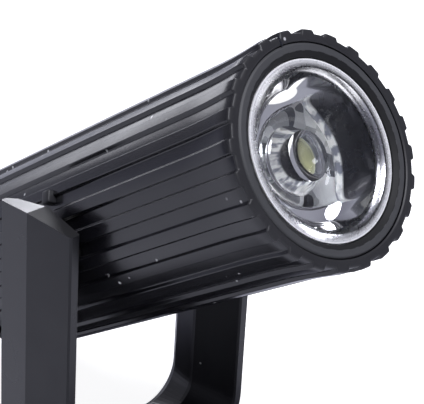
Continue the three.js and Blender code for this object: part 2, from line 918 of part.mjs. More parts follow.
add(group, "bracket", bracket(), blackPlastic);
add(lamp, "body_shell", bodyShell(), blackPlastic);
add(lamp, "bezel_ring", bezelRing(), darkPlastic);
add(lamp, "lens", lens(), clearAcrylic);
add(lamp, "lens_gasket", lensGasket(), greyRubber);
add(lamp, "lens_holder", lensHolder(), darkPlastic);
add(lamp, "led_dome", ledDome(), clearSilicone);
add(lamp, "led_phosphor", tile(phosphorSide, phosphorStart, phosphorThickness), phosphorYellow);
add(lamp, "led_package", ledPackage(), whiteCeramic);
add(lamp, "led_board", drilledDisc(ledBoardRadius, ledBoardStart, ledBoardThickness), whiteCeramic);
add(lamp, "thermal_pad", drilledDisc(padRadius, padStart, padThickness), palePad);
add(lamp, "heat_sink", heatSink(), bareAluminium);
add(lamp, "heat_sink_screw_a", sinkScrew(-1), brightSteel);
add(lamp, "heat_sink_screw_b", sinkScrew(1), brightSteel);
add(lamp, "lead_red", lead(-1), redSleeve);
add(lamp, "lead_black", lead(1), blackSleeve);

const boardMiddle = boardStart + boardLength / 2;
const driverBoard = block(boardWidth, boardLength, boardThickness, 0, along(boardMiddle), -boardDrop);
add(lamp, "driver_board", driverBoard, greenBoard);
add(lamp, "transformer_core", transformerCore(), ferrite);
add(lamp, "transformer_bobbin", transformerBobbin(), yellowTape);
const inputCan = uprightCan(inputCapacitorRadius, inputCapacitorHeight, -columnOffset, inputRow);
add(lamp, "input_capacitor", inputCan, blackSleeve);
const outputCan = uprightCan(outputCapacitorRadius, outputCapacitorHeight, -columnOffset, outputRow);
add(lamp, "output_capacitor", outputCan, blackSleeve);
const filmBlock = onBoard(filmWidth, filmThickness, filmHeight, -columnOffset, bridgeRow);
add(lamp, "film_capacitor", filmBlock, natural);
const bridgeBlock = onBoard(bridgeSide, bridgeSide, bridgeHeight, columnOffset, bridgeRow);
add(lamp, "bridge_rectifier", bridgeBlock, ferrite);
const chipBlock = onBoard(chipWidth, chipLength, chipHeight, columnOffset, outputRow);
add(lamp, "driver_chip", chipBlock, ferrite);
add(lamp, "choke", choke(), ferrite);
add(lamp, "fuse_resistor", fuseResistor(), natural);

add(lamp, "rear_cap", rearCap(), blackPlastic);
capScrewPlaces().forEach((place, i) => {
  add(lamp, `rear_cap_screw_${"abc"[i]}`, capScrew(place), brightSteel);
});
add(lamp, "cable_gland", cableGland(), greyRubber);
for (const [side, word] of [
  [-1, "left"],
  [1, "right"],
]) {
  add(lamp, `pivot_pin_${word}`, pivotPin(side), brightSteel);
  add(lamp, `friction_washer_${word}`, frictionWasher(side), natural);
}

export default group;
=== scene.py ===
import math

import bmesh
import bpy
from mathutils import Matrix, Vector


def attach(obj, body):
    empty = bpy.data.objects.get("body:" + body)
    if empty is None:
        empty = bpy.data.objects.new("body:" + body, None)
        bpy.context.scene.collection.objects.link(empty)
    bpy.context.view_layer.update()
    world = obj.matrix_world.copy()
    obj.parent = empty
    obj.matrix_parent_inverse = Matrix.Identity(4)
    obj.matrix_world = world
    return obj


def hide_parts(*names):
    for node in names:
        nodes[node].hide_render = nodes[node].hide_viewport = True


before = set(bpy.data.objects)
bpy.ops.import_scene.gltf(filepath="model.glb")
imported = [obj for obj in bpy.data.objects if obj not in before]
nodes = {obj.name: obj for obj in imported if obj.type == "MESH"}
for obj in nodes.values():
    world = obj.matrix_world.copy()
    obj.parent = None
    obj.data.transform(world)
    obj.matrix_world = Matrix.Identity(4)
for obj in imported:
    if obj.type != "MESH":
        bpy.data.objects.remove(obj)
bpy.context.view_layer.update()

print("frame loaded:", len(nodes), "nodes")

# The lamp is modelled along its own axis, with y counted back from the front of the ring
lampSetup = {
    "tilt": 33.8,
    "pivotHeight": 0.061,
    "pivotSetback": 0.0624,
}
lampPlace = (
    Matrix.Translation((0, 0, lampSetup["pivotHeight"]))
    @ Matrix.Rotation(-math.radians(lampSetup["tilt"]), 4, "X")
    @ Matrix.Translation((0, -lampSetup["pivotSetback"], 0))
)
lampInverse = lampPlace.inverted()


# camera
cameraSetup = {
    "place": (-0.2437, -0.2496, 0.2335),
    "direction": (0.66043, 0.61360, -0.43281),
    "roll": 3.4,
    "focal": 152.83,
    "sensor": 36,
    "nearest": 0.01,
}


def addCamera(setup):
    data = bpy.data.cameras.new("camera")
    data.lens = setup["focal"]
    data.sensor_width = setup["sensor"]
    data.sensor_fit = "HORIZONTAL"
    data.clip_start = setup["nearest"]
    camera = bpy.data.objects.new("camera", data)
    bpy.context.scene.collection.objects.link(camera)
    turn = Vector(setup["direction"]).to_track_quat("-Z", "Y").to_matrix().to_4x4()
    roll = Matrix.Rotation(math.radians(setup["roll"]), 4, "Z")
    camera.matrix_world = Matrix.Translation(setup["place"]) @ turn @ roll
    bpy.context.scene.camera = camera


addCamera(cameraSetup)


# material helpers
mixSockets = {"factor": 0, "first": 6, "second": 7, "result": 2}
noiseSpan = (0.3, 0.7)  # the values that most of a noise lies between
dustEdge = {"solidShare": 0.5, "step": 0.01}


def newMaterial(name):
    material = bpy.data.materials.new(name)
    material.use_nodes = True
    tree = material.node_tree
    shader = tree.nodes["Principled BSDF"]
    return material, tree, shader


def addNode(tree, kind, **values):
    node = tree.nodes.new(kind)
    for key, value in values.items():
        if key in node.inputs:
            node.inputs[key].default_value = value
        else:
            setattr(node, key, value)
    return node


def objectPlace(tree):
    return addNode(tree, "ShaderNodeTexCoord").outputs["Object"]


def stretchedPlace(tree, place, scale):
    mapping = addNode(tree, "ShaderNodeMapping", Scale=scale)
    tree.links.new(place, mapping.inputs["Vector"])
    return mapping.outputs["Vector"]


def noiseOn(tree, place, scale, detail):
    noise = addNode(tree, "ShaderNodeTexNoise", Scale=scale, Detail=detail)
    tree.links.new(place, noise.inputs["Vector"])
    return noise.outputs["Fac"]


def cellsOn(tree, place, scale):
    cells = addNode(tree, "ShaderNodeTexVoronoi", Scale=scale)
    tree.links.new(place, cells.inputs["Vector"])
    tone = addNode(tree, "ShaderNodeSeparateColor")
    tree.links.new(cells.outputs["Color"], tone.inputs["Color"])
    return cells.outputs["Distance"], tone.outputs["Red"], tone.outputs["Green"]


def rampBetween(tree, source, low, high, fromValue, toValue):
    ramp = addNode(tree, "ShaderNodeMapRange")
    ramp.inputs["From Min"].default_value = low
    ramp.inputs["From Max"].default_value = high
    ramp.inputs["To Min"].default_value = fromValue
    ramp.inputs["To Max"].default_value = toValue
    tree.links.new(source, ramp.inputs["Value"])
    return ramp.outputs["Result"]


def combined(tree, operation, first, second):
    both = addNode(tree, "ShaderNodeMath", operation=operation)
    tree.links.new(first, both.inputs[0])
    tree.links.new(second, both.inputs[1])
    return both.outputs["Value"]


def oneMinus(tree, source):
    rest = addNode(tree, "ShaderNodeMath", operation="SUBTRACT")
    rest.inputs[0].default_value = 1
    tree.links.new(source, rest.inputs[1])
    return rest.outputs["Value"]


def distanceAlong(tree, place, axis):
    along = addNode(tree, "ShaderNodeVectorMath", operation="DOT_PRODUCT")
    tree.links.new(place, along.inputs[0])
    along.inputs[1].default_value = axis
    return along.outputs["Value"]


def setColour(tree, socket, colour):
    if isinstance(colour, bpy.types.NodeSocket):
        tree.links.new(colour, socket)
    else:
        socket.default_value = (*colour, 1)


def mixedColour(tree, factor, first, second):
    mix = addNode(tree, "ShaderNodeMix", data_type="RGBA")
    tree.links.new(factor, mix.inputs[mixSockets["factor"]])
    setColour(tree, mix.inputs[mixSockets["first"]], first)
    setColour(tree, mix.inputs[mixSockets["second"]], second)
    return mix.outputs[mixSockets["result"]]


def setRoughness(tree, shader, noise, span, roughness):
    tree.links.new(rampBetween(tree, noise, *span, *roughness), shader.inputs["Roughness"])


def addBump(tree, shader, height, strength, distance):
    bump = addNode(tree, "ShaderNodeBump", Strength=strength, Distance=distance)
    tree.links.new(height, bump.inputs["Height"])
    tree.links.new(bump.outputs["Normal"], shader.inputs["Normal"])


def dustMask(tree, place, look):
    size, share = look["dustSize"], look["dust"]
    distance, chance, _ = cellsOn(tree, place, look["dustScale"])
    near = rampBetween(tree, distance, size * dustEdge["solidShare"], size, 1, 0)
    chosen = rampBetween(tree, chance, share, share + dustEdge["step"], 1, 0)
    return combined(tree, "MULTIPLY", near, chosen)


# kinds of material
def mouldedPlastic(name, look):
    material, tree, shader = newMaterial(name)
    place = objectPlace(tree)
    cloud = noiseOn(tree, place, look["cloudScale"], look["cloudDetail"])
    grain = noiseOn(tree, place, look["grainScale"], look["grainDetail"])
    colour = mixedColour(tree, cloud, look["colour"], look["second"])
    if look["dust"]:
        colour = mixedColour(tree, dustMask(tree, place, look), colour, look["dustColour"])
    tree.links.new(colour, shader.inputs["Base Color"])
    setRoughness(tree, shader, cloud, noiseSpan, look["roughness"])
    shader.inputs["Specular IOR Level"].default_value = look["specular"]
    addBump(tree, shader, grain, *look["bump"])
    return material


def metalFinish(name, look):
    material, tree, shader = newMaterial(name)
    place = stretchedPlace(tree, objectPlace(tree), look["stretch"])
    streaks = noiseOn(tree, place, look["scale"], look["detail"])
    colour = mixedColour(tree, streaks, look["colour"], look["second"])
    tree.links.new(colour, shader.inputs["Base Color"])
    setRoughness(tree, shader, streaks, noiseSpan, look["roughness"])
    shader.inputs["Metallic"].default_value = 1.0
    addBump(tree, shader, streaks, *look["bump"])
    return material


def clearFinish(name, look):
    material, tree, shader = newMaterial(name)
    shader.inputs["Base Color"].default_value = (*look["colour"], 1)
    shader.inputs["IOR"].default_value = look["ior"]
    shader.inputs["Transmission Weight"].default_value = 1.0
    ripple = noiseOn(tree, objectPlace(tree), look["scale"], look["detail"])
    setRoughness(tree, shader, ripple, look["span"], look["roughness"])
    addBump(tree, shader, ripple, *look["bump"])
    return material


# The raised rim of the lens: fine rings by the attribute "reach", milky towards its outer edge
def frostedFinish(name, look):
    material, tree, shader = newMaterial(name)
    cloud = noiseOn(tree, objectPlace(tree), look["scale"], look["detail"])
    reach = addNode(tree, "ShaderNodeAttribute", attribute_name="reach").outputs["Fac"]
    turns = addNode(tree, "ShaderNodeMath", operation="MULTIPLY")
    turns.inputs[1].default_value = 2 * math.pi / look["lineStep"]
    tree.links.new(reach, turns.inputs[0])
    wave = addNode(tree, "ShaderNodeMath", operation="SINE")
    tree.links.new(turns.outputs["Value"], wave.inputs[0])
    line = rampBetween(tree, wave.outputs["Value"], *look["lineSpan"], 0, 1)
    outward = rampBetween(tree, reach, *look["paleReach"], 0, 1)
    colour = mixedColour(tree, outward, look["inner"], look["outer"])
    colour = mixedColour(tree, line, colour, look["line"])
    tree.links.new(colour, shader.inputs["Base Color"])
    setRoughness(tree, shader, cloud, noiseSpan, look["roughness"])
    shader.inputs["IOR"].default_value = look["ior"]
    clear = rampBetween(tree, reach, *look["frostReach"], 1, look["transmission"])
    tree.links.new(clear, shader.inputs["Transmission Weight"])
    addBump(tree, shader, wave.outputs["Value"], *look["bump"])
    return material


def patchedFinish(name, look):
    material, tree, shader = newMaterial(name)
    _, tone, height = cellsOn(tree, objectPlace(tree), look["scale"])
    colour = mixedColour(tree, tone, look["dark"], look["light"])
    tree.links.new(colour, shader.inputs["Base Color"])
    shader.inputs["Roughness"].default_value = look["roughness"]
    addBump(tree, shader, height, *look["bump"])
    return material


# Dark in front and patchy white behind a depth along the lamp; the colour is also emitted, a painted
# glow of light
def gradedFinish(name, look):
    material, tree, shader = newMaterial(name)
    place = objectPlace(tree)
    axis = lampPlace.to_3x3() @ Vector((0, 1, 0))
    start = axis.dot(lampPlace.translation)
    depths = [start + depth for depth in look["change"]]
    rear = rampBetween(tree, distanceAlong(tree, place, axis), *depths, 0, 1)
    cloud = noiseOn(tree, place, look["scale"], look["detail"])
    blotch = rampBetween(tree, cloud, *look["blotchSpan"], 0, 1)
    pale = mixedColour(tree, blotch, look["rearDark"], look["rear"])
    colour = mixedColour(tree, rear, look["front"], pale)
    tree.links.new(colour, shader.inputs["Base Color"])
    # painted glow: the holder emits its own colour though it is no lamp
    tree.links.new(colour, shader.inputs["Emission Color"])
    shader.inputs["Emission Strength"].default_value = look["glow"]
    setRoughness(tree, shader, cloud, noiseSpan, look["roughness"])
    addBump(tree, shader, cloud, *look["bump"])
    return material


# finishes
blackBody = {
    "colour": (0.0055, 0.0055, 0.0075),
    "second": (0.0095, 0.0095, 0.0125),
    "cloudScale": 90,
    "cloudDetail": 4,
    "roughness": (0.17, 0.24),
    "specular": 0.5,
    "grainScale": 5200,
    "grainDetail": 2,
    "bump": (0.12, 0.00003),
    "dust": 0.16,
    "dustScale": 300,
    "dustSize": 0.13,
    "dustColour": (0.60, 0.60, 0.62),
}


def plastic(colour, second, roughness, dust=0, **others):
    return dict(blackBody, colour=colour, second=second, roughness=roughness, dust=dust, **others)


plasticLooks = {
    "blackBody": blackBody,
    "blackBracket": dict(blackBody, roughness=(0.26, 0.34), dust=0.035),
    "bracketFront": dict(blackBody, roughness=(0.42, 0.52), specular=0.36, dust=0.035),
    "blackBezel": plastic((0.045, 0.046, 0.050), (0.060, 0.061, 0.066), (0.55, 0.65), dust=0.05),
    # darker black for a shaded recess and a shaded facet: painted shade
    "paintedShadeBlack": plastic(
        (0.012, 0.012, 0.013), (0.017, 0.017, 0.018), (0.5, 0.6), dust=0.03, specular=0.2),
    "blackRing": plastic((0.013, 0.013, 0.015), (0.020, 0.020, 0.023), (0.44, 0.54), dust=0.10),
    # painted shade for the seam's gap
    "paintedGapShade": plastic((0.004, 0.005, 0.010), (0.006, 0.008, 0.016), (0.17, 0.24)),
    "rubber": plastic((0.03, 0.03, 0.033), (0.05, 0.05, 0.055), (0.7, 0.85), dust=0.03),
    "pad": plastic((0.24, 0.28, 0.33), (0.32, 0.37, 0.42), (0.7, 0.9)),
    "ceramic": plastic((0.80, 0.80, 0.78), (0.90, 0.90, 0.88), (0.35, 0.5)),
    "natural": plastic((0.74, 0.70, 0.60), (0.82, 0.79, 0.70), (0.45, 0.6)),
    "board": plastic((0.015, 0.09, 0.03), (0.03, 0.14, 0.05), (0.3, 0.45)),
    "ferrite": plastic((0.025, 0.025, 0.028), (0.045, 0.045, 0.05), (0.6, 0.8)),
    "tape": plastic((0.60, 0.40, 0.04), (0.70, 0.50, 0.08), (0.25, 0.4)),
    "blackSleeve": plastic((0.012, 0.013, 0.018), (0.02, 0.02, 0.03), (0.2, 0.3)),
    "redSleeve": plastic((0.36, 0.015, 0.015), (0.46, 0.03, 0.03), (0.3, 0.4)),
    "phosphor": plastic((0.84, 0.87, 0.42), (0.95, 0.95, 0.82), (0.4, 0.55), cloudScale=420),
}
finishes = {name: mouldedPlastic(name, look) for name, look in plasticLooks.items()}
finishes["aluminium"] = metalFinish("aluminium", {
    "colour": (0.60, 0.61, 0.63),
    "second": (0.72, 0.73, 0.75),
    "roughness": (0.3, 0.45),
    "stretch": (1, 12, 1),
    "scale": 300,
    "detail": 4,
    "bump": (0.2, 0.00002),
})
finishes["steel"] = metalFinish("steel", {
    "colour": (0.55, 0.56, 0.57),
    "second": (0.68, 0.69, 0.70),
    "roughness": (0.22, 0.35),
    "stretch": (6, 6, 1),
    "scale": 400,
    "detail": 4,
    "bump": (0.2, 0.00002),
})
finishes["acrylic"] = clearFinish("acrylic", {
    "colour": (0.97, 0.985, 0.99),
    "ior": 1.49,
    "scale": 160,
    "detail": 2,
    "span": (0.4, 0.7),
    "roughness": (0.0, 0.02),
    "bump": (0.02, 0.00005),
})
finishes["silicone"] = clearFinish("silicone", {
    "colour": (0.98, 0.97, 0.85),
    "ior": 1.41,
    "scale": 300,
    "detail": 2,
    "span": (0.4, 0.7),
    "roughness": (0.02, 0.06),
    "bump": (0.05, 0.00005),
})
finishes["frosted"] = frostedFinish("frosted", {
    "inner": (0.80, 0.80, 0.84),
    "outer": (0.95, 0.95, 0.97),
    "paleReach": (0.0164, 0.0180),
    "line": (0.72, 0.72, 0.76),
    "lineStep": 0.00055,
    "lineSpan": (0.2, 0.9),
    "frostReach": (0.0166, 0.0179),
    "transmission": 0.12,
    "ior": 1.49,
    "scale": 900,
    "detail": 3,
    "roughness": (0.22, 0.36),
    "bump": (0.25, 0.00003),
})
finishes["starBoard"] = patchedFinish("starBoard", {
    "dark": (0.05, 0.055, 0.075),
    "light": (0.95, 0.95, 0.94),
    "scale": 400,
    "roughness": 0.35,
    "bump": (0.3, 0.00004),
})
# the holder's glow is painted light
finishes["holder"] = gradedFinish("holder", {
    "front": (0.004, 0.005, 0.009),
    "rear": (0.95, 0.95, 0.94),
    "rearDark": (0.22, 0.23, 0.28),
    "change": (0.0146, 0.0150),
    "glow": 0.3,
    "scale": 420,
    "detail": 3,
    "blotchSpan": (0.42, 0.58),
    "roughness": (0.22, 0.34),
    "bump": (0.2, 0.00003),
})
print("materials made:", len(finishes))


# making pieces
turnedMerge = 1e-7  # distance under which the points of a turned shape become one


def finishPiece(name, bm, body, finish, replaced=(), bevel=None, segments=2, smooth=35, place=lampPlace):
    bmesh.ops.transform(bm, matrix=place, verts=bm.verts)
    bmesh.ops.recalc_face_normals(bm, faces=bm.faces)
    mesh = bpy.data.meshes.new(name)
    bm.to_mesh(mesh)
    bm.free()
    piece = bpy.data.objects.new(name, mesh)
    bpy.context.scene.collection.objects.link(piece)
    mesh.materials.append(finishes[finish])
    mesh.shade_smooth()
    mesh.set_sharp_from_angle(angle=math.radians(smooth))
    if bevel:
        rounding = piece.modifiers.new("edges", "BEVEL")
        rounding.width = bevel
        rounding.segments = segments
        rounding.limit_method = "ANGLE"
        rounding.angle_limit = math.radians(smooth)
    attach(piece, body)
    if replaced:
        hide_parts(*replaced)
    return piece


def paintFaces(piece, finish, isPainted):
    piece.data.materials.append(finishes[finish])
    painted = len(piece.data.materials) - 1
    for face in piece.data.polygons:
        if isPainted(face):
            face.material_index = painted


def depthAndReach(spot):
    inLamp = lampInverse @ spot
    return inLamp.y, math.hypot(inLamp.x, inLamp.z)


def turnedShape(bm, profile, steps):
    verts = [bm.verts.new((radius, depth, 0)) for radius, depth in profile]
    closed = profile[0][0] > 0 and profile[-1][0] > 0
    pairs = list(zip(verts, verts[1:])) + ([(verts[-1], verts[0])] if closed else [])
    edges = [bm.edges.new(pair) for pair in pairs]
    bmesh.ops.spin(bm, geom=verts + edges, cent=(0, 0, 0), axis=(0, 1, 0),
                   angle=2 * math.pi, steps=steps, use_merge=True)
    bmesh.ops.remove_doubles(bm, verts=bm.verts, dist=turnedMerge)


def turnedPiece(name, profile, steps, finish, **options):
    bm = bmesh.new()
    turnedShape(bm, profile, steps)
    return finishPiece(name, bm, "lamp", finish, **options)


def turnedAround(angle):
    return Matrix.Rotation(-math.radians(angle), 4, "Y")  # from the top of the lamp towards -x


# ribbed shell
ribbedShell = {
    "ribCount": 24,
    "phase": 5.7,  # degrees from the top to the middle of the first channel
    "channel": 4.42,  # degrees from a channel's middle to its edge
    "channelFloor": 3.45,  # degrees from its middle to the edge of its floor
    "channelDepth": 0.00075,
    "ribShares": (0.25, 0.5, 0.75),  # where the points on top of a rib lie
    "ringRadius": 0.0239,
    "ringEdge": 0.0005,
    "ringCornerShare": 0.3,
    "ringBand": 0.0026,
    "ringFace": 0.0007,
    "ringFaceDepthShare": 0.5,
    "flareLength": 0.0156,
    "flareSteps": 8,
    "frontRadius": 0.0234,
    "rearRadius": 0.0213,
    "length": 0.101,
    "tubeSteps": 12,
    "counterbore": 0.02135,
    "counterboreDepth": 0.0073,
    "counterboreEdge": 0.0003,
    "bore": 0.0193,
    "bevel": 0.00012,
    "smooth": 28,
}


def tubeRadius(depth):
    shell = ribbedShell
    return shell["frontRadius"] + (shell["rearRadius"] - shell["frontRadius"]) * depth / shell["length"]


# The points around the shell, each with its angle and 1 where it lies in a channel
def spokePattern(shell):
    pitch = 360 / shell["ribCount"]
    top, floor = shell["channel"], shell["channelFloor"]
    one = [(-top, 0), (-floor, 1), (-floor / 2, 1), (0, 1), (floor / 2, 1), (floor, 1), (top, 0)]
    one += [(top + (pitch - 2 * top) * share, 0) for share in shell["ribShares"]]
    return [
        (math.radians(shell["phase"] + rib * pitch + angle), low)
        for rib in range(shell["ribCount"])
        for angle, low in one
    ]


# The loops from the rear edge over the outside and back through the bore: depth, radius, channel depth
def shellLoops(shell):
    length, drop = shell["length"], shell["channelDepth"]
    ring, band, edge = shell["ringRadius"], shell["ringBand"], shell["ringEdge"]
    corner, counterboreEdge = edge * shell["ringCornerShare"], shell["counterboreEdge"]
    loops = [(length, shell["rearRadius"], drop)]
    for i in range(1, shell["tubeSteps"]):
        depth = length + (shell["flareLength"] - length) * i / shell["tubeSteps"]
        loops.append((depth, tubeRadius(depth), drop))
    for i in range(shell["flareSteps"] + 1):
        share = 1 - i / shell["flareSteps"]
        depth = band + (shell["flareLength"] - band) * share
        flare = (ring - tubeRadius(band)) * (1 - share) ** 2
        loops.append((depth, tubeRadius(depth) + flare, drop))
    return loops + [
        (edge, ring, drop),
        (corner, ring - corner, drop),
        (0, ring - edge, drop),
        (0, ring - edge - shell["ringFace"], drop * shell["ringFaceDepthShare"]),
        (0, shell["counterbore"] + counterboreEdge, 0),
        (counterboreEdge, shell["counterbore"], 0),
        (shell["counterboreDepth"], shell["counterbore"], 0),
        (shell["counterboreDepth"], shell["bore"], 0),
        (length, shell["bore"], 0),
    ]


def addRibbedShell(shell):
    bm = bmesh.new()
    spokes = spokePattern(shell)
    bmesh.ops.create_circle(bm, cap_ends=False, radius=shell["ringRadius"], segments=len(spokes))
    number = bm.verts.layers.int.new("spoke")
    for i, vert in enumerate(bm.verts):
        vert[number] = i

    def setLoop(verts, depth, radius, drop):
        for vert in verts:
            angle, low = spokes[vert[number]]
            reach = radius - drop * low
            vert.co = (-reach * math.sin(angle), depth, reach * math.cos(angle))

    loops = shellLoops(shell)
    firstEdges = list(bm.edges)
    edges = firstEdges
    setLoop(bm.verts, *loops[0])
    for loop in loops[1:]:
        grown = bmesh.ops.extrude_edge_only(bm, edges=edges)["geom"]
        edges = [item for item in grown if isinstance(item, bmesh.types.BMEdge)]
        setLoop([item for item in grown if isinstance(item, bmesh.types.BMVert)], *loop)
    bmesh.ops.bridge_loops(bm, edges=firstEdges + edges)
    piece = finishPiece("ribbedShell", bm, "lamp", "blackBody", replaced=["body_shell"],
                        bevel=shell["bevel"], smooth=shell["smooth"])
    paintFaces(piece, "blackRing", lambda face: depthAndReach(face.center)[0] < shell["ringBand"] / 2)


addRibbedShell(ribbedShell)

# index nib above the near pivot
indexNib = {
    "depth": 0.0612,
    "angle": 62.0,
    "width": 0.0028,
    "length": 0.0026,
    "top": 0.0012,  # above the ribs
    "sink": 0.0010,  # below them
    "round": 0.00035,
    "segments": 3,
}


def addNib(nib):
    bm = bmesh.new()
    bmesh.ops.create_cube(bm, size=1)
    height = nib["top"] + nib["sink"]
    middle = tubeRadius(nib["depth"]) - nib["sink"] + height / 2
    bmesh.ops.scale(bm, vec=(nib["width"], nib["length"], height), verts=bm.verts)
    bmesh.ops.bevel(bm, geom=list(bm.edges), offset=nib["round"], affect="EDGES",
                    segments=nib["segments"], profile=0.5, material=-1)
    bmesh.ops.translate(bm, vec=(0, nib["depth"], middle), verts=bm.verts)
    bmesh.ops.transform(bm, matrix=turnedAround(nib["angle"]), verts=bm.verts)
    finishPiece("indexNib", bm, "lamp", "blackRing")


addNib(indexNib)

# painted shade of a seam's gap on the front of the ring: a thin dark strip standing just proud of it
ringSeamShade = {
    "angle": 3.4,
    "width": 0.00040,
    "length": 0.0022,
    "radius": 0.0223,
    "proud": 0.00002,
}


def addSeamShade(seam):
    bm = bmesh.new()
    bmesh.ops.create_cube(bm, size=1)
    bmesh.ops.scale(bm, vec=(seam["width"], 2 * seam["proud"], seam["length"]), verts=bm.verts)
    bmesh.ops.translate(bm, vec=(0, 0, seam["radius"]), verts=bm.verts)
    bmesh.ops.transform(bm, matrix=turnedAround(seam["angle"]), verts=bm.verts)
    finishPiece("ringSeamShade", bm, "lamp", "paintedGapShade")


addSeamShade(ringSeamShade)

# round pads at the pivots
pivotPad = {
    "radius": 0.0055,
    "inner": 0.0205,  # from the lamp's middle to the back of the pad
    "face": 0.02225,  # and to its face
    "hole": 0.0028,
    "edge": 0.0002,
    "steps": 48,
}


def addPivotPad(pad, side, name):
    inner, face, rim, hole, edge = pad["inner"], pad["face"], pad["radius"], pad["hole"], pad["edge"]
    profile = [
        (hole, inner), (rim, inner), (rim, face - edge), (rim - edge, face), (hole + edge, face),
        (hole, face - edge),
    ]
    turn = Matrix.Rotation(-side * math.pi / 2, 4, "Z")
    place = Matrix.Translation((0, lampSetup["pivotSetback"], 0)) @ turn
    turnedPiece(name, profile, pad["steps"], "blackBody", place=lampPlace @ place)


addPivotPad(pivotPad, 1, "pivotPadRight")
addPivotPad(pivotPad, -1, "pivotPadLeft")
print("ribbed shell made")

# bezel
frontBezel = {
    "outer": 0.02122,
    "flat": 0.0004,  # slanted edge around the outside
    "front": 0.0001,
    "depth": 0.007,
    "face": 0.01955,  # inner radius of the flat face, where the cone starts
    "aperture": 0.01845,
    "lipFront": 0.0008,
    "lipBack": 0.0021,
    "skirt": 0.0194,
    "steps": 144,
    "bevel": 0.00015,
    "segments": 3,
    "smooth": 25,
    "margin": 0.0001,
}


def addBezel(bezel):
    outer, front, flat = bezel["outer"], bezel["front"], bezel["flat"]
    face, lipBack = bezel["face"], bezel["lipBack"]
    profile = [
        (bezel["aperture"], bezel["lipFront"]), (bezel["aperture"], lipBack), (bezel["skirt"], lipBack),
        (bezel["skirt"], bezel["depth"]), (outer, bezel["depth"]), (outer, front + flat),
        (outer - flat, front), (face, front),
    ]
    piece = turnedPiece("frontBezel", profile, bezel["steps"], "blackBezel", replaced=["bezel_ring"],
                        bevel=bezel["bevel"], segments=bezel["segments"], smooth=bezel["smooth"])

    def inCone(polygon):
        depth, reach = depthAndReach(polygon.center)
        return reach < face and depth < lipBack - bezel["margin"]

    # the cone inside the bezel face gets the darker black, painted shade
    paintFaces(piece, "paintedShadeBlack", inCone)


addBezel(frontBezel)

# lens
clearLens = {
    "flange": 0.0191,
    "flangeFront": 0.0024,
    "flangeBack": 0.0039,
    "rimOuter": 0.01815,
    "front": 0.0009,
    "rim": 0.0164,  # inner radius of the raised rim
    "face": 0.0152,  # radius of the flat face behind it
    "faceDepth": 0.0024,
    "waist": 0.0173,  # radius of the side behind the flange
    "tail": 0.0079,  # and at the back
    "back": 0.0153,
    "curve": 0.62,  # 1 is a straight cone
    "sideSteps": 24,
    "cavityRear": 0.0070,
    "cavityFront": 0.0051,
    "cavityTop": 0.0075,
    "crown": 0.0022,  # how far the end of the cavity domes towards the LED
    "crownShares": (0.96, 0.88, 0.78, 0.66, 0.54, 0.42, 0.3, 0.18, 0.08, 0),
    "steps": 160,
    "smooth": 30,
    "margin": 0.0001,
}


def lensProfile(lens):
    side = []
    for i in range(lens["sideSteps"] + 1):
        share = 1 - i / lens["sideSteps"]
        radius = lens["tail"] + (lens["waist"] - lens["tail"]) * share ** lens["curve"]
        side.append((radius, lens["back"] + (lens["flangeBack"] - lens["back"]) * share))
    front = [
        (0, lens["faceDepth"]), (lens["face"], lens["faceDepth"]), (lens["rim"], lens["front"]),
        (lens["rimOuter"], lens["front"]), (lens["rimOuter"], lens["flangeFront"]),
        (lens["flange"], lens["flangeFront"]), (lens["flange"], lens["flangeBack"]),
    ]
    cavity = [(lens["cavityRear"], lens["back"]), (lens["cavityFront"], lens["cavityTop"])]
    crown = [
        (lens["cavityFront"] * share, lens["cavityTop"] + lens["crown"] * (1 - share ** 2))
        for share in lens["crownShares"]
    ]
    return front + side + cavity + crown


def addLens(lens):
    piece = turnedPiece("clearLens", lensProfile(lens), lens["steps"], "acrylic",
                        replaced=["lens"], smooth=lens["smooth"])
    reaches = piece.data.attributes.new("reach", "FLOAT", "POINT")
    for vert in piece.data.vertices:
        reaches.data[vert.index].value = depthAndReach(vert.co)[1]

    def inRim(polygon):
        depth, reach = depthAndReach(polygon.center)
        return reach > lens["face"] and depth < lens["faceDepth"] - lens["margin"]

    paintFaces(piece, "frosted", inRim)


addLens(clearLens)

# LED
phosphorDisc = {
    "radius": 0.0039,
    "front": 0.0115,
    "thickness": 0.0002,
    "steps": 48,
}


def addPhosphor(disc):
    radius, front, back = disc["radius"], disc["front"], disc["front"] + disc["thickness"]
    profile = [(0, front), (radius, front), (radius, back), (0, back)]
    turnedPiece("phosphorDisc", profile, disc["steps"], "phosphor", replaced=["led_phosphor"])


addPhosphor(phosphorDisc)

# bracket, whose arm tops fall away to both sides of the crease
uBracket = {
    "crease": 0.0021,  # y of the line between the two facets
    "top": 0.0704,
    "topMargin": 0.0002,
    "fallFront": 0.075,  # fall of the top per length, away from the crease
    "fallRear": 0.04,
    "topBand": 0.002,  # height under the top that counts as top
    "sideFacing": 0.5,
    "merge": 0.000001,
    "flatAngle": 1,
    "bevel": 0.00028,
    "segments": 3,
    "smooth": 4,
}


